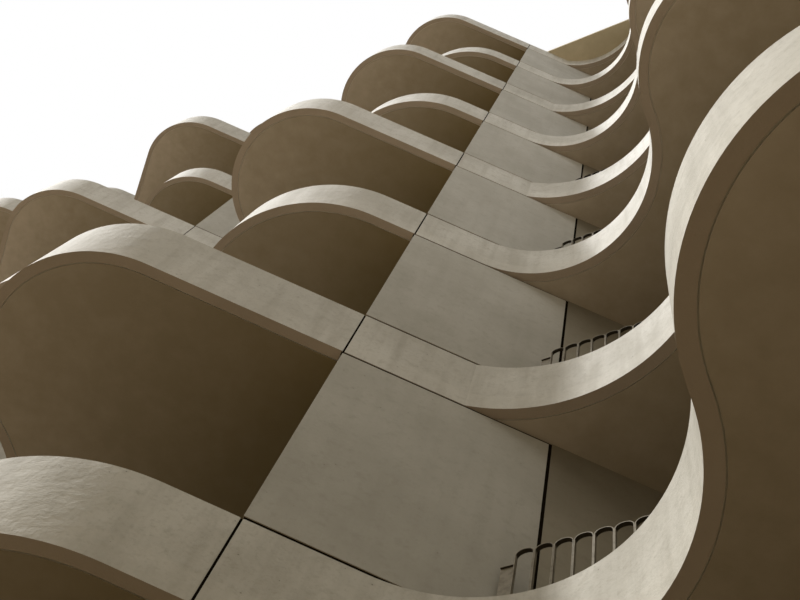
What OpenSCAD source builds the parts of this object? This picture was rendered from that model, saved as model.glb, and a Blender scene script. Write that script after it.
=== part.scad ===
// Apartment block with a stepped row of rooms and S-curved balconies.
// +Z is up, the origin is on the ground at the middle of the building's box.
// Every room has its front towards -X, and each stands one step in front of the last.

/* [Building] */
// Number of rooms side by side in the stepped row
rooms = 5; // [2:1:6]
// Number of storeys that have balconies
balcony_storeys = 7; // [2:1:8]
// Height from one floor to the next
storey_h = 2900; // [2700:10:3200]
// Height of the lowest balcony's underside above the ground
base_h = 5500; // [5200:10:6500]
// How far each room stands in front of the last
step_x = 3600; // [3500:10:3800]
// Distance from one cross wall to the next
step_y = 3550; // [3480:10:3620]
// Depth of a room from its glazed front to the rear face
room_d = 7500; // [6000:50:12000]

/* [Slabs] */
// Thickness of the floor slabs
slab_t = 200; // [150:5:260]
// Thickness of the slab on the ground
ground_t = 100; // [60:5:200]
// Thickness of the roof sheet that lies on the walls and the top bands
roof_t = 150; // [100:5:250]
// How far along each side wall the roof's straight front edge stays behind the corner
roof_set = 420; // [300:10:600]
// Width of the drip groove between a balcony's edge and its underside
groove_w = 8; // [5:1:20]
// Depth of the drip groove
groove_d = 12; // [8:1:30]

/* [Walls] */
// Thickness of the cross walls
wall_t = 200; // [150:5:300]
// Thickness of the rear wall
rear_t = 200; // [150:5:300]
// Length of the corner panels along the side wall
panel_w = 1510; // [1450:10:1600]
// Width of the open joints between precast panels
joint = 25; // [10:1:40]
// Thickness of the low walls that close the space under the roof
upstand_t = 100; // [60:5:200]
// Distance of those walls behind a room's front plane
upstand_set = 200; // [120:5:400]

/* [Balcony edge] */
// Number of rooms, from the first, whose balconies have round bulbs
bulb_rooms = 3; // [1:1:6]
// Height of the curved edge band from its underside to its top
band_h = 710; // [600:5:900]
// Thickness of the edge band and of the wall panels
band_t = 80; // [60:5:120]
// Straight length of a round balcony's band before its bulb
round_straight = 415; // [380:5:470]
// Outer radius of a round balcony's bulb
round_bulb_r = 1385; // [1340:5:1430]
// Outer radius of the hollow beside it
round_hollow_r = 1400; // [1340:5:1460]
// How far that hollow's circle would pass the plane of the next wall, which it meets aslant
round_pass = 50; // [20:5:80]
// Straight length of a long balcony's band before its bulb
long_straight = 1460; // [1400:5:1520]
// Outer radius of a long balcony's bulb
long_bulb_r = 1020; // [980:5:1060]
// Outer radius of the hollow beside it
long_hollow_r = 1060; // [1030:5:1100]

/* [Straight-sided balconies] */
// Straight length of a short balcony's band along the wall
short_run = 520; // [450:5:600]
// Straight length of a deep balcony's band along the wall
deep_run = 1650; // [1550:5:1700]
// Outer radius of the corner between that and the straight side
side_corner_r = 1050; // [980:5:1100]
// Outer radius of the hollow at the end of the straight side
side_hollow_r = 780; // [700:5:820]

/* [Railings] */
// Height of the railing above the balcony floor
rail_h = 1080; // [1000:5:1250]
// Depth of the flat bars that the hoops are bent from
rail_t = 35; // [20:1:45]
// Gap between the railing and the edge band
rail_gap = 10; // [5:1:30]
// Gap between the railing's ends and the walls
end_gap = 60; // [20:5:100]

/* [Windows] */
// Distance from the front plane to the window frames
frame_set = 60; // [30:5:120]
// Depth of the window frames
frame_d = 60; // [40:5:90]
// Width of the window frame members
frame_w = 55; // [40:5:80]
// Number of glazed doors in a room's front
front_panes = 4; // [2:1:5]
// Thickness of the glass
glass_t = 12; // [6:1:20]
// Width of a rear window
rear_window_w = 1800; // [1200:10:2400]
// Height of a rear window
rear_window_h = 1300; // [1000:10:1500]
// Height of a rear window above the floor
sill_h = 900; // [800:10:1000]

/* [Hidden] */
$fn = 240;
eps = 10;
// How far the hollow bites into the bulb, so that the two curves always meet.
bite = 0.02;
// Floors are numbered from the ground: the first balconies are on floor 2.
first_balcony = 2;
top_floor = first_balcony + balcony_storeys - 1;
// The roof floor has a band as the balconies do, and the roof sheet lies on top of it.
roof_floor = top_floor + 1;
top_z = base_h + balcony_storeys * storey_h + band_h;
// How far the walls reach past the last corner across the row.
wall_back = band_t + wall_t;
row_x = rooms * step_x;
row_y = rooms * step_y + wall_back;

// Underside of floor n's slab.
function soffit_z(n) = base_h + (n - first_balcony) * storey_h;
// Top of floor n's slab.
function floor_z(n) = n == 0 ? ground_t : soffit_z(n) + slab_t;
// Small and large balconies take turns from floor to floor, and among the rooms with
// bulbs also from room to room.
function is_large(n, k) = (n + min(k, bulb_rooms)) % 2 == 1;
// Straight length, bulb radius, hollow radius, side length and how far the hollow's circle
// passes the next wall's plane, for the band of room k on floor n.
function shape(n, k) =
    k >= bulb_rooms ? [is_large(n, k) ? deep_run : short_run, side_corner_r, side_hollow_r,
                       step_y - side_hollow_r - side_corner_r, 0]
    : is_large(n, k) ? [long_straight, long_bulb_r, long_hollow_r, 0, 0]
    : [round_straight, round_bulb_r, round_hollow_r, 0, round_pass];

// Centres of the first and the last curve of a bulb, seen from the corner where the band
// starts. They differ only where the bulb has a straight side.
function bulb_c(s) = [-s[0], s[1]];
function side_c(s) = [-s[0], s[1] + s[3]];
// The hollow touches the bulb and the plane of the next room's side wall.
function hollow_c(s) =
    let (y = step_y + s[4] - s[2], rise = y - side_c(s)[1])
    [-s[0] - sqrt(pow(s[1] + s[2], 2) - rise * rise), y];

// Area behind a room's balcony band, moved in by inset. The band leaves the room's corner
// along -X, goes round the bulb and back through the hollow to the next room's wall.
module behind_band(s, inset, past) {
    bulb = bulb_c(s);
    side = side_c(s);
    hollow = hollow_c(s);
    back = step_y + wall_back + past;
    intersection() {
        difference() {
            union() {
                polygon(concat(
                    [[past, inset], [past, back], [-step_x - past, back],
                     [-step_x - past, step_y + inset], [hollow[0], step_y + inset], hollow],
                    s[3] > 0 ? [side] : [],
                    [bulb, [bulb[0], inset]]
                ));
                translate(bulb) circle(r = s[1] - inset);
                if (s[3] > 0) {
                    translate(side) circle(r = s[1] - inset);
                    translate([bulb[0] - s[1] + inset, bulb[1]]) square([s[1] - inset, s[3]]);
                }
            }
            intersection() {
                translate(hollow) circle(r = s[2] + inset + bite);
                translate([-step_x - 2 * past, 0]) square([step_x + 4 * past, step_y + inset]);
            }
        }
        translate([-step_x - past, 0]) square([step_x + 2 * past, back]);
    }
}

// Repeats its children at each room's corner, or at each cross wall.
module at_corner(j) {
    translate([(row_x - room_d) / 2 - j * step_x, j * step_y - row_y / 2]) children();
}

// Plan of one room's floor between its cross walls and up to the rear wall.
module room_plan() {
    translate([0, wall_back]) square([room_d - rear_t, step_y - wall_t]);
}

// Plan of one balcony floor inside its band. It runs under the inner panels
// and stops at the band's own length along the next room's wall.
module balcony_plan(s, inset) {
    intersection() {
        behind_band(s, inset, eps);
        union() {
            translate([-step_x, 0]) square([step_x, step_y]);
            translate([panel_w - step_x, 0]) square([step_x - panel_w, step_y + band_t]);
        }
    }
}

module ground_floor() {
    color("#8f8778") for (k = [0 : rooms - 1]) at_corner(k)
        linear_extrude(ground_t) room_plan();
}

module inner_floor_1() {
    color("#8f8778") for (k = [0 : rooms - 1]) at_corner(k)
        translate([0, 0, soffit_z(1)]) linear_extrude(slab_t) room_plan();
}

// A floor slab that runs out to the balcony, with the drip groove along its edge.
module balcony_floor(n) {
    color("#6a5b45") for (k = [0 : rooms - 1]) at_corner(k) translate([0, 0, soffit_z(n)]) {
        translate([0, 0, groove_d]) linear_extrude(slab_t - groove_d) {
            room_plan();
            balcony_plan(shape(n, k), band_t);
        }
        linear_extrude(groove_d) {
            room_plan();
            balcony_plan(shape(n, k), band_t + groove_w);
        }
    }
}

// Low walls between the roof floor and the roof sheet, one behind each room's front.
module roof_upstands() {
    color("#a89f8e") for (k = [0 : rooms - 1]) at_corner(k)
        translate([upstand_set, wall_back, floor_z(roof_floor)])
            cube([upstand_t, step_y - wall_t, top_z - floor_z(roof_floor)]);
}

// The roof sheet. Its front edge is one straight line, parallel to the line through the
// rooms' corners, and its rear edge is stepped as the rear walls are.
module roof_slab() {
    back = rooms * step_y + wall_back;
    color("#b9af9c") at_corner(0) translate([0, 0, top_z]) linear_extrude(roof_t)
        polygon(concat(
            [[roof_set, 0], [room_d, 0]],
            [for (k = [0 : rooms - 1], i = k < rooms - 1 ? [k, k + 1] : [k])
                [room_d - i * step_x, (k + 1) * step_y + wall_back]],
            [[roof_set - back * step_x / step_y, back]]
        ));
}

// The band of each balcony, with its straight end flush in the next room's wall.
module edge_band(n) {
    color("#d9d1c0") for (k = [0 : rooms - 1]) at_corner(k)
        translate([0, 0, soffit_z(n)]) linear_extrude(band_h) intersection() {
            union() {
                difference() {
                    behind_band(shape(n, k), 0, eps);
                    behind_band(shape(n, k), band_t, 2 * eps);
                }
                translate([-step_x, step_y]) square([panel_w, band_t]);
            }
            translate([joint / 2 - step_x, 0]) square([step_x - joint, step_y + band_t]);
        }
}

// Sum x + y of every point on the railing's centre line, just inside the band's hollow.
function slant(s) =
    let (c = hollow_c(s)) c[0] + c[1] + (s[2] + band_t + rail_gap + rail_t / 2) * sqrt(2);

// The railing stands on the floor slab. It runs straight and at half a right angle from
// the next room's wall to this room's glazed front.
module railing(n) {
    color("#5c564a") for (k = [0 : rooms - 1]) {
        far = slant(shape(n, k));
        trim = rail_t / 2 + end_gap;
        at_corner(k) translate([far - step_y, step_y, floor_z(n)]) rotate(-45)
            translate([trim, -rail_t / 2, 0])
                cube([(step_y - far) * sqrt(2) - 2 * trim, rail_t, rail_h]);
    }
}

// A cross wall from its room's front corner to the rear face of the room behind.
module cross_wall(j) {
    wall_l = j == 0 ? room_d : room_d + step_x;
    color("#a89f8e") at_corner(j) translate([0, band_t, 0]) cube([wall_l, wall_t, top_z]);
}

// One facing panel on cross wall j.
module panel(j, x0, x1, z0, z1) {
    at_corner(j) translate([x0, 0, z0]) cube([x1 - x0, band_t, z1 - z0]);
}

// The two rows of facing under the lowest balconies, with one joint between them.
module base_panels(j, x0, x1, top) {
    panel(j, x0, x1, 0, floor_z(1) - joint / 2);
    panel(j, x0, x1, floor_z(1) + joint / 2, top);
}

// Top of the facing of storey n on the end wall.
function facing_top(n) = n == roof_floor ? top_z : soffit_z(n + 1) - joint;

// Panels at the free corners. They stand between the bands of two storeys, and on
// the end wall, which has no bands, between two floor joints.
module corner_panels() {
    color("#cfc6b4") {
        for (j = [0 : rooms]) base_panels(j, 0, panel_w, soffit_z(first_balcony) - joint);
        for (n = [first_balcony : top_floor], j = [1 : rooms])
            panel(j, 0, panel_w, soffit_z(n) + band_h + joint, soffit_z(n + 1) - joint);
        for (n = [first_balcony : roof_floor]) panel(0, 0, panel_w, soffit_z(n), facing_top(n));
    }
}

// Panels between the corner panels and the next room's front, and along the end wall.
module inner_panels() {
    inner_x = panel_w + joint;
    end_w = (room_d - step_x) / 2;
    color("#9c9382") {
        for (j = [1 : rooms]) {
            base_panels(j, inner_x, step_x, soffit_z(first_balcony));
            for (n = [first_balcony : roof_floor])
                panel(j, inner_x, step_x, floor_z(n), min(soffit_z(n + 1), top_z));
        }
        for (x = [inner_x, step_x + joint, step_x + joint + end_w]) {
            x1 = x == inner_x ? step_x : min(x + end_w - joint, room_d);
            base_panels(0, x, x1, soffit_z(first_balcony) - joint);
            for (n = [first_balcony : roof_floor]) panel(0, x, x1, soffit_z(n), facing_top(n));
        }
    }
}

// A rear wall of full height with one window on each storey.
module rear_wall(k) {
    w = step_y - wall_t;
    color("#b3aa98") at_corner(k) translate([room_d - rear_t, wall_back, 0]) difference() {
        cube([rear_t, w, top_z]);
        for (n = [0 : top_floor])
            translate([-eps, (w - rear_window_w) / 2, floor_z(n) + sill_h])
                cube([rear_t + 2 * eps, rear_window_w, rear_window_h]);
    }
}

// One sheet of glass in each rear window, in the middle of the wall.
module rear_glass() {
    color("#3c4a50") for (k = [0 : rooms - 1], n = [0 : top_floor]) at_corner(k)
        translate([room_d - (rear_t + glass_t) / 2,
                   wall_back + (step_y - wall_t - rear_window_w) / 2, floor_z(n) + sill_h])
            cube([glass_t, rear_window_w, rear_window_h]);
}

// Clear height of storey n.
function clear_h(n) = soffit_z(n + 1) - floor_z(n);

// Frames of the glazed doors that fill each room's front between its cross walls.
module front_frames() {
    w = step_y - wall_t;
    pane_w = (w - (front_panes + 1) * frame_w) / front_panes;
    color("#c9c4b8") for (k = [0 : rooms - 1], n = [0 : top_floor]) at_corner(k)
        translate([frame_set, wall_back, floor_z(n)]) difference() {
            cube([frame_d, w, clear_h(n)]);
            for (i = [0 : front_panes - 1])
                translate([-eps, frame_w + i * (pane_w + frame_w), frame_w])
                    cube([frame_d + 2 * eps, pane_w, clear_h(n) - 2 * frame_w]);
        }
}

// One sheet of glass behind each room's front frame.
module front_glass() {
    color("#3c4a50") for (k = [0 : rooms - 1], n = [0 : top_floor]) at_corner(k)
        translate([frame_set + frame_d, wall_back, floor_z(n)])
            cube([glass_t, step_y - wall_t, clear_h(n)]);
}

ground_floor();
inner_floor_1();
for (n = [first_balcony : roof_floor])
    balcony_floor(n);
roof_upstands();
roof_slab();
for (n = [first_balcony : roof_floor])
    edge_band(n);
for (n = [first_balcony : top_floor])
    railing(n);
for (j = [0 : rooms])
    cross_wall(j);
corner_panels();
inner_panels();
for (k = [0 : rooms - 1])
    rear_wall(k);
front_frames();
front_glass();
rear_glass();
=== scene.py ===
"""Apartment block with a stepped row of rooms and S-curved balconies: the finishes, joint
seals, railings, window fittings, light and camera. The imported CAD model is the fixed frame."""
import math

import bpy
import numpy as np
from mathutils import Matrix, Vector


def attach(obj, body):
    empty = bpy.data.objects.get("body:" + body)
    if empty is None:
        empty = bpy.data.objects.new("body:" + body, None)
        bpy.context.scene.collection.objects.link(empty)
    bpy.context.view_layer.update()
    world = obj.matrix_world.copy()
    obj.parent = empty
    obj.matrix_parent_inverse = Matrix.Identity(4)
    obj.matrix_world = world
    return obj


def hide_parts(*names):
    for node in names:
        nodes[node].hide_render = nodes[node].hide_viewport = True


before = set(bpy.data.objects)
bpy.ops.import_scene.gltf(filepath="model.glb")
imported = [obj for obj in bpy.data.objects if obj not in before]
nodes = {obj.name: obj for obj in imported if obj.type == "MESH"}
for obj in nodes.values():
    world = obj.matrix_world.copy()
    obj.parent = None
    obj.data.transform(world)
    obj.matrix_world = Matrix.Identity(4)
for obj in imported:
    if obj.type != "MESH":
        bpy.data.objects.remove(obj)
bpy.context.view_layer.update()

# --- Camera ------------------------------------------------------------------------------
# The photograph was taken from the ground beside the block, looking steeply up along one
# corner. Focal length, vanishing points and place were worked out from the storey heights.
# ZENITH_PX is the pixel that lies straight above the eye, and X_AXIS_ANGLE, in radians, is the
# slope of a level line along X where it passes the picture's middle.
FOCAL_PX, IMAGE_W, IMAGE_H = 1100.33, 800, 600
ZENITH_PX = (612.748, -91.650)
X_AXIS_ANGLE = 0.4159
EYE = Vector((-1.496, -5.127, 1.700))
SENSOR_MM, FAR_CLIP = 36, 400

up = Vector((ZENITH_PX[0] - IMAGE_W / 2, ZENITH_PX[1] - IMAGE_H / 2, FOCAL_PX))
across = Vector((math.cos(X_AXIS_ANGLE), math.sin(X_AXIS_ANGLE), 0))
across.z = -across.dot(up) / FOCAL_PX
up.normalize()
across.normalize()
# Rows are the world's axes seen by a camera that looks along +Z with +Y down; Blender's
# camera looks along -Z with +Y up, so its second and third columns change sign.
turn = Matrix((across, up.cross(across), up)) @ Matrix.Diagonal((1, -1, -1))
camera = bpy.data.objects.new("camera", bpy.data.cameras.new("camera"))
camera.data.sensor_width = SENSOR_MM
camera.data.lens = SENSOR_MM * FOCAL_PX / IMAGE_W
camera.data.clip_end = FAR_CLIP
camera.matrix_world = Matrix.Translation(EYE) @ turn.to_4x4()
bpy.context.scene.collection.objects.link(camera)
bpy.context.scene.camera = camera

# --- Edge bands --------------------------------------------------------------------------
# The curved balcony edges are cast concrete with pale, matt masonry paint, which rain has
# marked with soft upright streaks and small pits. The lowest 0.2 m, in front of the slab, is a
# little lighter, and the narrow underside is painted as the slab is.
BANDS = range(2, 10)  # the floors with a band: 2 to 8 have balconies, 9 is under the roof
STOREY, LOWEST_EDGE, SLAB_T, FIRST_Y = 2.900, 5.500, 0.200, -9.015


def linear(colour):
    """An sRGB hex colour as linear RGBA: c/12.92 up to 0.04045, else ((c+0.055)/1.055)^2.4."""
    parts = [int(colour[i:i + 2], 16) / 255 for i in (1, 3, 5)]
    return [c / 12.92 if c <= 0.04045 else ((c + 0.055) / 1.055) ** 2.4 for c in parts] + [1.0]


def add(tree, kind, inputs=None, **settings):
    """Adds one shader node, sets its properties, and fills or links its inputs."""
    made = tree.nodes.new(kind)
    for name, value in settings.items():
        setattr(made, name, value)
    for name, value in (inputs or {}).items():
        if isinstance(value, bpy.types.NodeSocket):
            tree.links.new(value, made.inputs[name])
        else:
            made.inputs[name].default_value = value
    return made


def new_material(name, roughness, specular=0.5):
    """An empty material with a Principled shader. Returns it, its node tree, its shader and
    the object coordinates in metres."""
    material = bpy.data.materials.new(name)
    material.use_nodes = True
    tree = material.node_tree
    tree.nodes.clear()
    shader = add(tree, "ShaderNodeBsdfPrincipled", {"Roughness": roughness,
                                                    "Specular IOR Level": specular})
    add(tree, "ShaderNodeOutputMaterial", {"Surface": shader.outputs["BSDF"]})
    place = add(tree, "ShaderNodeTexCoord").outputs["Object"]
    return material, tree, shader, place


def wash(tree, tone, colour, mask, start=0.0, end=1.0, most=1.0):
    """Lays a colour over a tone. The colour's share of the mix is
    most * (mask - start) / (end - start), held between 0 and most."""
    share = add(tree, "ShaderNodeMapRange", {0: mask, 1: start, 2: end, 3: 0.0, 4: most})
    return add(tree, "ShaderNodeMix", {0: share.outputs[0], 6: tone, 7: colour},
               data_type="RGBA").outputs[2]


def painted_shade_near_ground(tree, tone, height):
    """Painted shade towards the ground: multiplies a colour by a warm grey, fully below 5 m of
    height and not at all above 14 m."""
    share = add(tree, "ShaderNodeMapRange", {0: height, 1: 5.0, 2: 14.0, 3: 1.0, 4: 0.0})
    return add(tree, "ShaderNodeMix", {0: share.outputs[0], 6: tone, 7: linear("#cac6bc")},
               data_type="RGBA", blend_type="MULTIPLY").outputs[2]


def height_in_storey(tree, height):
    """Height above the next slab underside below: (height - LOWEST_EDGE) modulo STOREY."""
    above = add(tree, "ShaderNodeMath", {0: height, 1: LOWEST_EDGE}, operation="SUBTRACT")
    return add(tree, "ShaderNodeMath", {0: above.outputs[0], 1: STOREY},
               operation="FLOORED_MODULO").outputs[0]


def facing_up(tree):
    """The upward part of the surface's normal: 1 on a floor, 0 on a wall, -1 underneath."""
    normal = add(tree, "ShaderNodeNewGeometry").outputs["Normal"]
    return add(tree, "ShaderNodeSeparateXYZ", {"Vector": normal}).outputs["Z"]


def painted_concrete(name, paint, stain, under, streak, pits, relief, slab_edge=0.0, brown=0.0):
    """Masonry paint on cast concrete, matt and slightly uneven. Surfaces that face down carry
    the colour under. streak, pits and relief say how strong the rain streaks, the pits and the
    bumps are. slab_edge is the share of a lighter tone over the slab's thickness, and brown is
    the share of painted shade, dark brown, that comes in towards the slab above, behind the
    balconies."""
    material, tree, shader, place = new_material(name, 0.82, 0.25)
    axes = add(tree, "ShaderNodeSeparateXYZ", {"Vector": place}).outputs
    # A pattern's scale is 1 / its size in metres: blotches 0.7 m across, rain streaks 0.11 m
    # wide and 1.1 m long, smudges up to 90 mm and specks up to 26 mm across. The sand grain is
    # drawn 11 mm across, coarser than the real 1 mm, which is too fine to show.
    upright = add(tree, "ShaderNodeMapping", {"Vector": place, "Scale": (9.0, 9.0, 0.9)})
    blotch = add(tree, "ShaderNodeTexNoise", {"Vector": place, "Scale": 1.4, "Detail": 5.0,
                                              "Roughness": 0.6}).outputs[0]
    rain = add(tree, "ShaderNodeTexNoise", {"Vector": upright.outputs[0], "Scale": 1.0,
                                            "Detail": 4.0, "Roughness": 0.55}).outputs[0]
    smudge = add(tree, "ShaderNodeTexNoise", {"Vector": place, "Scale": 11.0, "Detail": 6.0,
                                              "Roughness": 0.65}).outputs[0]
    speck = add(tree, "ShaderNodeTexNoise", {"Vector": place, "Scale": 38.0, "Detail": 4.0,
                                             "Roughness": 0.7}).outputs[0]
    sand = add(tree, "ShaderNodeTexNoise", {"Vector": place, "Scale": 90.0,
                                            "Detail": 3.0}).outputs[0]
    tone = linear(paint)
    for mask, start, end, most in ((blotch, 0.38, 0.62, 0.40), (rain, 0.46, 0.70, streak),
                                   (smudge, 0.52, 0.70, 0.40), (speck, 0.52, 0.72, 0.9 * streak)):
        tone = wash(tree, tone, linear(stain), mask, start, end, most)
    # Pits 6 to 12 mm across, one in each 60 mm cell of a loose grid, where the smudge is dense.
    cell = add(tree, "ShaderNodeTexVoronoi", {"Vector": place, "Scale": 16.0})
    dot = add(tree, "ShaderNodeMapRange", {0: cell.outputs["Distance"], 1: 0.10, 2: 0.05})
    dense = add(tree, "ShaderNodeMapRange", {0: smudge, 1: 0.53, 2: 0.57, 4: pits})
    pit = add(tree, "ShaderNodeMath", {0: dot.outputs[0], 1: dense.outputs[0]},
              operation="MULTIPLY")
    tone = wash(tree, tone, linear("#4e4638"), pit.outputs[0])
    level = height_in_storey(tree, axes["Z"])
    if slab_edge:
        tone = wash(tree, tone, linear("#f4f2ed"), level, SLAB_T + 0.01, SLAB_T - 0.01,
                    slab_edge)
    if brown:
        # Painted shade in dark brown, from 0.9 m above a slab's underside up to the next one, but
        # not below the lowest balcony, nor on the open end wall, whose face lies at FIRST_Y.
        near = add(tree, "ShaderNodeMapRange", {0: level, 1: 0.9, 2: STOREY, 4: brown})
        high = add(tree, "ShaderNodeMapRange", {0: axes["Z"], 1: LOWEST_EDGE - 0.05,
                                                2: LOWEST_EDGE})
        inside = add(tree, "ShaderNodeMapRange", {0: axes["Y"], 1: FIRST_Y + 0.065,
                                                  2: FIRST_Y + 0.115})
        covered = add(tree, "ShaderNodeMath", {0: high.outputs[0], 1: inside.outputs[0]},
                      operation="MULTIPLY")
        share = add(tree, "ShaderNodeMath", {0: near.outputs[0], 1: covered.outputs[0]},
                    operation="MULTIPLY")
        tone = wash(tree, tone, linear("#52462c"), share.outputs[0])
    below = wash(tree, linear(under), linear("#a19485"), blotch)
    tone = wash(tree, tone, below, facing_up(tree), -0.6, -0.9)
    # Painted shade: darker towards the ground, below 14 m of height.
    tree.links.new(painted_shade_near_ground(tree, tone, axes["Z"]), shader.inputs["Base Color"])
    # The relief: soft waves that the trowel left, and the sand grain on them.
    waves = add(tree, "ShaderNodeBump", {"Height": smudge, "Strength": 0.6 * relief,
                                         "Distance": 0.012})
    grain = add(tree, "ShaderNodeBump", {"Height": sand, "Strength": 0.35 * relief,
                                         "Distance": 0.003, "Normal": waves.outputs[0]})
    tree.links.new(grain.outputs[0], shader.inputs["Normal"])
    return material


def finish(material, *names):
    """Gives CAD nodes their material."""
    for name in names:
        nodes[name].data.materials.clear()
        nodes[name].data.materials.append(material)


band_paint = painted_concrete("masonry_paint_on_cast_bands", "#eaeae7", "#b9b6ad", "#bcad9e",
                              streak=0.45, pits=0.5, relief=1.0, slab_edge=0.15)
finish(band_paint, *[f"edge_band_{n}" for n in BANDS])

# --- Wall panels -------------------------------------------------------------------------
# The side walls are faced with precast concrete panels, 80 mm thick, painted a shade darker
# and flatter than the bands. They hang on the cross walls with joints 25 mm wide round them.
panel_paint = painted_concrete("masonry_paint_on_precast_panels", "#d1d0cb", "#b1afa6",
                               "#c2b6a2", streak=0.22, pits=0.35, relief=0.5)
finish(panel_paint, "corner_panels")

# --- Inner panels ------------------------------------------------------------------------
# The same panels behind the balcony railings, out of the rain. Painted shade: their paint is
# a little darker than outside, and dark brown grows over it, the darker the nearer to the slab.
inner_paint_and_shade = painted_concrete("inner_panel_paint_with_painted_shade", "#c9c3b4", "#aaa392", "#c2b6a2",
                               streak=0.12, pits=0.2, relief=0.4, brown=0.75)
finish(inner_paint_and_shade, "inner_panels")

# --- Cross walls and rear walls ----------------------------------------------------------
# Walls of cast concrete between the rooms and behind them, with a warmer and more streaked
# coat of the same matt paint. Low walls close the space under the roof sheet.
ROOMS = 5
wall_paint = painted_concrete("masonry_paint_on_cast_walls", "#d0cabe", "#afa99b", "#aea48f",
                              streak=0.30, pits=0.30, relief=0.8)
finish(wall_paint, "roof_upstands", *[f"cross_wall_{j + 1}" for j in range(ROOMS + 1)],
       *[f"rear_wall_{k + 1}" for k in range(ROOMS)])

# --- Floors ------------------------------------------------------------------------------
# Cast slabs. The undersides are painted brown and show faint damp patches. Painted shade
# darkens them in the last 2.6 m towards the rooms, and painted light keeps the drip groove
# along their edge pale. The tops carry a dull grey screed.
# The bands and the facing panels are BAND_T thick.
FIRST_X, STEP_X, STEP_Y, BAND_T = 5.250, 3.600, 3.550, 0.080


def depth_in_bay(tree, axes):
    """Distance of a point behind the corner of its room along X. The row steps STEP_X towards
    -X each time Y grows by STEP_Y, so it is
    STEP_X * floor((y - FIRST_Y - BAND_T) / STEP_Y) + x - FIRST_X."""
    value = axes["Y"]
    for operation, number in (("SUBTRACT", FIRST_Y + BAND_T), ("DIVIDE", STEP_Y),
                              ("FLOOR", 0.0), ("MULTIPLY", STEP_X), ("ADD", axes["X"]),
                              ("SUBTRACT", FIRST_X)):
        value = add(tree, "ShaderNodeMath", {0: value, 1: number}, operation=operation).outputs[0]
    return value


def slab_finish(name, under, under_stain, over, over_stain):
    """Matt paint below, screed or felt above. Both are mixed from a patch pattern 2.5 m across
    and a finer one 0.17 m across; the face's direction picks the side. The paint below takes
    painted shade in the last 2.6 m towards the room, and painted light inside the groove, 1 to
    20 mm up."""
    material, tree, shader, place = new_material(name, 0.85, 0.2)
    axes = add(tree, "ShaderNodeSeparateXYZ", {"Vector": place}).outputs
    patch = add(tree, "ShaderNodeTexNoise", {"Vector": place, "Scale": 0.4, "Detail": 3.0})
    cloud = add(tree, "ShaderNodeTexNoise", {"Vector": place, "Scale": 6.0, "Detail": 6.0,
                                             "Roughness": 0.6})
    mixed = add(tree, "ShaderNodeMath", {0: patch.outputs[0], 1: cloud.outputs[0]},
                operation="ADD").outputs[0]
    low = wash(tree, linear(under), linear(under_stain), mixed, 0.75, 1.25)
    # Painted shade: a dark olive brown in the last 2.6 m towards the room.
    low = wash(tree, low, linear("#6b5b30"), depth_in_bay(tree, axes), -2.6, 0.0, 0.85)
    level = height_in_storey(tree, axes["Z"])
    # Painted light: paler paint inside the drip groove, 1 to 20 mm up, against its shade.
    above = add(tree, "ShaderNodeMapRange", {0: level, 1: 0.001, 2: 0.003})
    beneath = add(tree, "ShaderNodeMapRange", {0: level, 1: 0.020, 2: 0.015})
    groove_painted_light = add(tree, "ShaderNodeMath", {0: above.outputs[0], 1: beneath.outputs[0]},
                    operation="MULTIPLY")
    low = wash(tree, low, linear("#d8d2c6"), groove_painted_light.outputs[0])
    # Painted shade: darker towards the ground, below 14 m of height.
    low = painted_shade_near_ground(tree, low, axes["Z"])
    top = wash(tree, linear(over), linear(over_stain), mixed, 0.75, 1.25)
    tree.links.new(wash(tree, low, top, facing_up(tree), 0.5, 0.9), shader.inputs["Base Color"])
    bump = add(tree, "ShaderNodeBump", {"Height": cloud.outputs[0], "Strength": 0.2,
                                        "Distance": 0.004})
    tree.links.new(bump.outputs[0], shader.inputs["Normal"])
    return material


slab_paint = slab_finish("brown_paint_and_screed_on_slabs", "#c5b9ab", "#b2a695",
                         "#a19a8c", "#8b8477")
finish(slab_paint, "ground_floor", "inner_floor_1", *[f"balcony_floor_{n}" for n in BANDS])

# --- Roof --------------------------------------------------------------------------------
# A cast sheet that lies on the walls and the top bands. It is painted at the edge and below
# like the other slabs, and pale mineral felt is laid on top.
roof_paint = slab_finish("brown_paint_and_mineral_felt_on_roof", "#d3c8b0", "#c6bba2",
                         "#a8a498", "#8f8b80")
finish(roof_paint, "roof_slab")

# --- Joint seals -------------------------------------------------------------------------
# Black sealant closes the 25 mm joints between panels and bands, 6 mm behind the face. It is
# pressed in from a gun and dries dull, and brown dust sticks to it.
FLOORS = range(2, 9)  # the floors with balconies
PANEL_W, JOINT, BAND_H, ROOM_D, TOP_Z = 1.510, 0.025, 0.710, 7.500, 26.510
SEAL_BACK, SEAL_T = 0.006, 0.030
# The plan place where cross wall j, and the balcony edge of room j, start.
CORNERS = np.array([(FIRST_X - STEP_X * j, FIRST_Y + STEP_Y * j) for j in range(ROOMS + 1)])


def soffit(n):
    """Height of the underside of floor n's slab; floor 2 is the lowest with balconies."""
    return LOWEST_EDGE + STOREY * (n - 2)


def make_piece(name, points, faces, material, slot_name):
    """A flat-shaded mesh object at the origin from an array of points and one of faces."""
    mesh = bpy.data.meshes.new(name)
    mesh.from_pydata(np.asarray(points).reshape(-1, 3).tolist(), [], np.asarray(faces).tolist())
    mesh.shade_flat()
    mesh.materials.append(material)
    made = bpy.data.objects.new(name, mesh)
    bpy.context.scene.collection.objects.link(made)
    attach(made, "root")
    return made


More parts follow.
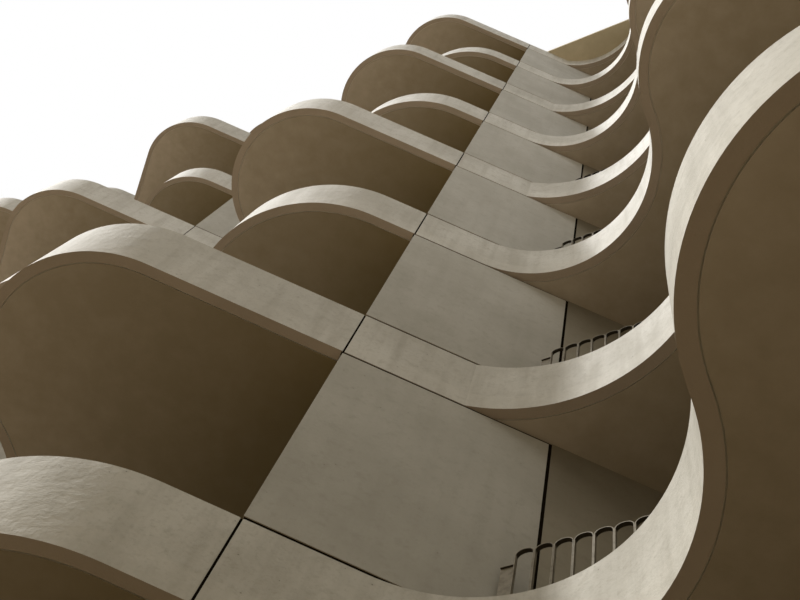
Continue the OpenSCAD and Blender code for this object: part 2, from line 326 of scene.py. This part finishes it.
def boxes(corners):
    """Closed boxes from N pairs of lowest and highest corner. Point i of a box is
    low + (high - low) * bits 0, 1 and 2 of i for x, y and z, and the faces point outwards."""
    low, high = np.moveaxis(np.array(corners), 1, 0)
    bits = (np.arange(8)[:, None] >> np.arange(3)) & 1
    points = low[:, None] + (high - low)[:, None] * bits
    quad = np.array([[0, 2, 3, 1], [4, 5, 7, 6], [0, 1, 5, 4], [2, 6, 7, 3],
                     [0, 4, 6, 2], [1, 3, 7, 5]])
    return points, (quad + 8 * np.arange(len(low))[:, None, None]).reshape(-1, 4)


def seal_strip(j, x0, x1, z0, z1):
    """Lowest and highest corner of one strip of sealant in the facing of cross wall j, from
    x0 to x1 behind the wall's corner and from z0 to z1 above the ground."""
    x, y = CORNERS[j]
    return (x + x0, y + SEAL_BACK, z0), (x + x1, y + SEAL_BACK + SEAL_T, z1)


strips = []
base_joint = soffit(1) + SLAB_T
for j in range(ROOMS + 1):
    reach = STEP_X if j else ROOM_D
    strips.append(seal_strip(j, SEAL_BACK, reach, base_joint - JOINT / 2, base_joint + JOINT / 2))
    strips.append(seal_strip(j, PANEL_W, PANEL_W + JOINT, 0, TOP_Z))
    for n in BANDS:
        z = soffit(n)
        if j:
            strips.append(seal_strip(j, SEAL_BACK, PANEL_W, z - JOINT, z))
            if n in FLOORS:
                strips.append(seal_strip(j, SEAL_BACK, PANEL_W, z + BAND_H, z + BAND_H + JOINT))
            left = -JOINT / 2 if j < ROOMS else SEAL_BACK
            strips.append(seal_strip(j, left, JOINT / 2, z, z + BAND_H))
        else:
            strips.append(seal_strip(0, SEAL_BACK, ROOM_D, z - JOINT, z))
for x in (STEP_X, STEP_X + (ROOM_D - STEP_X) / 2):
    strips.append(seal_strip(0, x, x + JOINT, 0, TOP_Z))

sealant, tree, shader, place = new_material("black_polysulphide_sealant", 0.95, 0.0)
dust = add(tree, "ShaderNodeTexNoise", {"Vector": place, "Scale": 30.0, "Detail": 3.0})
tree.links.new(wash(tree, linear("#120e09"), linear("#211b12"), dust.outputs[0]),
               shader.inputs["Base Color"])
make_piece("joint_seals", *boxes(strips), sealant, "wall_concrete")

# --- Joint lips --------------------------------------------------------------------------
# Mortar lips on both sides of the upright joints between two bands, which leave a gap of
# 14 mm. They are floated on against the sealant and painted with the bands.
LIP_W, LIP_BACK = 0.0055, 0.001
lips = []
for x, y in CORNERS[1:ROOMS]:
    for n in BANDS:
        for side in (-JOINT / 2, JOINT / 2 - LIP_W):
            lips.append(((x + side, y + LIP_BACK, soffit(n) + LIP_BACK),
                         (x + side + LIP_W, y + SEAL_BACK, soffit(n) + BAND_H - LIP_BACK)))
make_piece("joint_lips", *boxes(lips), band_paint, "band_concrete")

# --- Front frames ------------------------------------------------------------------------
# Aluminium frames of the glazed doors that close each room's front, screwed into the walls.
# Their grey-brown powder coat is satin, with a faint mottle 25 mm across.
frame_coat, tree, shader, place = new_material("powder_coated_aluminium", 0.45)
mottle = add(tree, "ShaderNodeTexNoise", {"Vector": place, "Scale": 40.0, "Detail": 4.0})
tree.links.new(wash(tree, linear("#8f8877"), linear("#7d7666"), mottle.outputs[0], 0.4, 0.7),
               shader.inputs["Base Color"])
finish(frame_coat, "front_frames")

# --- Rear window frames ------------------------------------------------------------------
# The rear windows have frames with the same coat, 50 mm wide and deep, with one upright in
# the middle and a flat sill below. They are fixed in the openings, round the glass.
STOREYS, GROUND_T, WALL_T = 9, 0.100, 0.200
WINDOW_W, WINDOW_H, SILL_H, FRAME_W = 1.800, 1.300, 0.900, 0.050
FRAME_INSET, SILL_D, SILL_T = 0.125, 0.070, 0.015
members = []
for x, y in CORNERS[:ROOMS]:
    x0 = x + ROOM_D - FRAME_INSET
    x1 = x0 + FRAME_W
    y0 = y + BAND_T + WALL_T + (STEP_Y - WALL_T - WINDOW_W) / 2
    y1 = y0 + WINDOW_W
    middle = (y0 + y1 - FRAME_W) / 2
    for n in range(STOREYS):
        z0 = SILL_H + (soffit(n) + SLAB_T if n else GROUND_T)
        z1 = z0 + WINDOW_H
        members += [((x0, y0, z0), (x1, y0 + FRAME_W, z1)),
                    ((x0, y1 - FRAME_W, z0), (x1, y1, z1)),
                    ((x0, middle, z0 + FRAME_W), (x1, middle + FRAME_W, z1 - FRAME_W)),
                    ((x0, y0 + FRAME_W, z0), (x1, y1 - FRAME_W, z0 + FRAME_W)),
                    ((x0, y0 + FRAME_W, z1 - FRAME_W), (x1, y1 - FRAME_W, z1)),
                    ((x1, y0, z0), (x1 + SILL_D, y1, z0 + SILL_T))]
make_piece("rear_window_frames", *boxes(members), frame_coat, "frame_aluminium")

# --- Glass -------------------------------------------------------------------------------
# Clear float glass with a faint green tint, set in the frames. A thin film of dust, in patches
# 0.3 m across, breaks the reflections.
float_glass, tree, shader, place = new_material("float_glass", 0.03)
shader.inputs["Transmission Weight"].default_value = 1.0
shader.inputs["IOR"].default_value = 1.45
film = add(tree, "ShaderNodeTexNoise", {"Vector": place, "Scale": 3.0, "Detail": 5.0}).outputs[0]
tree.links.new(wash(tree, linear("#b9c6c1"), linear("#a7b4ae"), film),
               shader.inputs["Base Color"])
dull = add(tree, "ShaderNodeMapRange", {0: film, 1: 0.4, 2: 0.8, 3: 0.02, 4: 0.10})
tree.links.new(dull.outputs[0], shader.inputs["Roughness"])
finish(float_glass, "front_glass", "rear_glass")

# --- Railings ----------------------------------------------------------------------------
# Inverted hoops bent from flat steel bar 26 mm deep and 6 mm thick, one beside the other,
# welded on a flat base bar that is screwed to the slab. A capped plate, lower than the hoops,
# closes the rest at each end. Dull grey paint, rubbed in spots, with painted shade in dark
# brown where it faces down.
HOOP_PITCH, HOOP_W, HOOP_R, BEND_STEPS = 0.109, 0.108, 0.050, 8
BAR_T, BAR_D, RAIL_H, RAIL_T = 0.006, 0.026, 1.080, 0.035
END_GAP, RAIL_GAP, PLATE_W, PLATE_T, PLATE_H = 0.060, 0.010, 0.075, 0.003, 0.955
# The outlines of the edge bands as (straight, bulb radius, straight side, hollow radius, how
# far the hollow's circle passes the next wall's face). The first BULB_ROOMS rooms have round
# bulbs, the others small corners and a straight side.
ROUND_BAND, LONG_BAND = (0.415, 1.385, 0, 1.400, 0.050), (1.460, 1.020, 0, 1.060, 0)
SHORT_BAND, DEEP_BAND = (0.520, 1.050, 1.720, 0.780, 0), (1.650, 1.050, 1.720, 0.780, 0)
BULB_ROOMS = 3


def rail_line(n, k):
    """Both plan ends of room k's railing on floor n, from the next wall to the glazed front.
    The centre line x + y = total runs at 45 degrees. Its distance from the hollow's centre is
    the hollow's radius, the band, a gap and half the railing. Far and near outlines take turns
    by floor, and among the rooms with bulbs by room too."""
    far_out = (n + min(k, BULB_ROOMS)) % 2
    if k < BULB_ROOMS:
        band = LONG_BAND if far_out else ROUND_BAND
    else:
        band = DEEP_BAND if far_out else SHORT_BAND
    straight, bulb, side, hollow, past = band
    centre_y = STEP_Y + past - hollow
    centre_x = -straight - math.sqrt((bulb + hollow) ** 2 - (centre_y - bulb - side) ** 2)
    total = centre_x + centre_y + (hollow + BAND_T + RAIL_GAP + RAIL_T / 2) * math.sqrt(2)
    trim = (RAIL_T / 2 + END_GAP) * np.array([1, -1]) / math.sqrt(2)
    return CORNERS[k] + (total - STEP_Y, STEP_Y) + trim, CORNERS[k] + (0, total) - trim


def hoop_row(start, end, floor):
    """As many hoops as fit between two plan points. Each follows the path (u, z): up a leg,
    round a corner of HOOP_R in BEND_STEPS steps, across, round and down; the bar's section is
    carried along it. Returns the row and the plan point where it stops."""
    length = np.linalg.norm(end - start)
    along = (end - start) / length
    side = np.array([-along[1], along[0]])
    count = int(length / HOOP_PITCH)
    angle = np.linspace(0, math.pi / 2, BEND_STEPS + 1)
    u = HOOP_W / 2 - HOOP_R + HOOP_R * np.cos(angle)
    z = RAIL_H - HOOP_R + HOOP_R * np.sin(angle)
    path_u = np.concatenate([[HOOP_W / 2], u, -u[::-1], [-HOOP_W / 2]])
    path_z = np.concatenate([[0], z, z[::-1], [0]])
    out_u = np.concatenate([[1], np.cos(angle), -np.cos(angle)[::-1], [-1]])
    out_z = np.concatenate([[0], np.sin(angle), np.sin(angle)[::-1], [0]])
    # The four corners of the bar's section: outer, outer, inner, inner.
    inward = np.array([0, 0, 1, 1]) * BAR_T
    sideways = np.array([1, -1, -1, 1]) * BAR_D / 2
    section_u = path_u[:, None] - out_u[:, None] * inward
    section_z = path_z[:, None] - out_z[:, None] * inward + floor
    centre = start + along * (HOOP_PITCH * (np.arange(count) + 0.5))[:, None]
    plan = (centre[:, None, None] + along * section_u[None, :, :, None]
            + side * sideways[None, None, :, None])
    lift = np.broadcast_to(section_z[None, :, :, None], plan.shape[:-1] + (1,))
    points = np.concatenate([plan, lift], -1)
    rows = len(path_u)
    ring = np.arange(rows - 1)[:, None] * 4
    a = np.arange(4)
    b = (a + 1) % 4
    quads = np.stack([ring + a, ring + b, ring + b + 4, ring + a + 4], -1).reshape(-1, 4)
    ends = np.array([[3, 2, 1, 0], [4 * rows - 4, 4 * rows - 3, 4 * rows - 2, 4 * rows - 1]])
    faces = np.concatenate([quads, ends]) + (4 * rows * np.arange(count))[:, None, None]
    return (points.reshape(-1, 3), faces.reshape(-1, 4)), start + along * count * HOOP_PITCH


def flat_bar(start, end, z0, z1, depth):
    """A closed straight bar between two plan points, from z0 to z1: the line between them
    widened by half the depth to each side."""
    along = (end - start) / np.linalg.norm(end - start)
    side = np.array([-along[1], along[0]]) * depth / 2
    plan = np.array([start - side, end - side, end + side, start + side])
    points = np.concatenate([np.c_[plan, np.full(4, z0)], np.c_[plan, np.full(4, z1)]])
    faces = np.array([[3, 2, 1, 0], [4, 5, 6, 7], [0, 1, 5, 4], [1, 2, 6, 5], [2, 3, 7, 6],
                      [3, 0, 4, 7]])
    return points, faces


def join(parts):
    """Joins pairs of points and faces into one array of each."""
    shift = np.cumsum([0] + [len(p) for p, _ in parts[:-1]])
    return (np.concatenate([p for p, _ in parts]),
            np.concatenate([f + s for (_, f), s in zip(parts, shift)]))


rail_paint, tree, shader, place = new_material("grey_paint_on_flat_steel", 0.6, 0.15)
wear = add(tree, "ShaderNodeTexNoise", {"Vector": place, "Scale": 25.0, "Detail": 5.0})
worn = wash(tree, linear("#857e6e"), linear("#6e6554"), wear.outputs[0], 0.45, 0.7)
# Painted shade: faces that point down turn dark brown.
tree.links.new(wash(tree, worn, linear("#2b2418"), facing_up(tree), 0.0, -0.3),
               shader.inputs["Base Color"])
for n in FLOORS:
    floor = soffit(n) + SLAB_T
    top = floor + PLATE_H
    parts = []
    for k in range(ROOMS):
        start, end = rail_line(n, k)
        first = start + (end - start) / np.linalg.norm(end - start) * PLATE_W
        row, last = hoop_row(first, end - (first - start), floor)
        parts += [row, flat_bar(start, end, floor, floor + BAR_T, BAR_D)]
        for one, other in ((start, first), (last, end)):
            parts += [flat_bar(one, other, floor + BAR_T, top - BAR_T, PLATE_T),
                      flat_bar(one, other, top - BAR_T, top, BAR_D)]
    hoops = make_piece(f"hoop_railing_{n}", *join(parts), rail_paint, "railing_steel")
    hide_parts(f"railing_{n}")

# --- Floor, light and background ---------------------------------------------------------
# A pale studio floor that gives back little light, a key light over the front of the block,
# a broad light round it and a wide soft light from above. Camera and mirror rays see white.
FLOOR_HALF, FLOOR_Z = 150, -0.004  # just below the block's own underside


def seen_directly(tree):
    """1 for camera, mirror and see-through rays, 0 for the rays that carry light."""
    rays = add(tree, "ShaderNodeLightPath").outputs
    seen = add(tree, "ShaderNodeMath", {0: rays["Is Camera Ray"], 1: rays["Is Glossy Ray"]},
               operation="MAXIMUM")
    return add(tree, "ShaderNodeMath", {0: seen.outputs[0], 1: rays["Is Transmission Ray"]},
               operation="MAXIMUM").outputs[0]


floor_paint, tree, shader, place = new_material("pale_studio_floor", 0.9)
tree.links.new(wash(tree, linear("#8c7f68"), linear("#e8e6e2"), seen_directly(tree)),
               shader.inputs["Base Color"])
plane = bpy.data.meshes.new("studio_floor")
plane.from_pydata([(x * FLOOR_HALF, y * FLOOR_HALF, FLOOR_Z)
                   for x, y in ((-1, -1), (1, -1), (1, 1), (-1, 1))], [], [(0, 1, 2, 3)])
plane.materials.append(floor_paint)
studio_floor = bpy.data.objects.new("studio_floor", plane)
bpy.context.scene.collection.objects.link(studio_floor)


def sun(name, towards, elevation, strength, spread, colour):
    """A soft far lamp. towards is the plan direction from the block to the lamp; elevation is
    the lamp's angle above the ground and spread its width in the sky, both in degrees."""
    lamp = bpy.data.lights.new(name, "SUN")
    lamp.energy, lamp.angle, lamp.color = strength, math.radians(spread), linear(colour)[:3]
    made = bpy.data.objects.new(name, lamp)
    plan = Vector((*towards, 0)).normalized()
    lift = math.radians(elevation)
    ray = -(plan * math.cos(lift) + Vector((0, 0, math.sin(lift))))
    made.rotation_mode = "QUATERNION"
    made.rotation_quaternion = ray.to_track_quat("-Z", "Y")
    bpy.context.scene.collection.objects.link(made)


sun("key_light", (-0.985, 0.174), elevation=52, strength=3.7, spread=3, colour="#fffefc")
sun("broad_light", (-0.985, -0.174), elevation=40, strength=0.4, spread=80, colour="#fffcf6")
sun("top_light", (0.0, -1.0), elevation=89.9, strength=1.95, spread=120, colour="#fffbf3")

world = bpy.data.worlds.new("studio")
bpy.context.scene.world = world
world.use_nodes = True
tree = world.node_tree
tree.nodes.clear()
dim = add(tree, "ShaderNodeBackground", {"Color": linear("#fff8ea"), "Strength": 0.04})
white = add(tree, "ShaderNodeBackground", {"Color": linear("#ffffff"), "Strength": 1.0})
both = add(tree, "ShaderNodeMixShader", {0: seen_directly(tree), 1: dim.outputs[0],
                                         2: white.outputs[0]})
add(tree, "ShaderNodeOutputWorld", {"Surface": both.outputs[0]})
bpy.context.scene.view_settings.view_transform = "Standard"
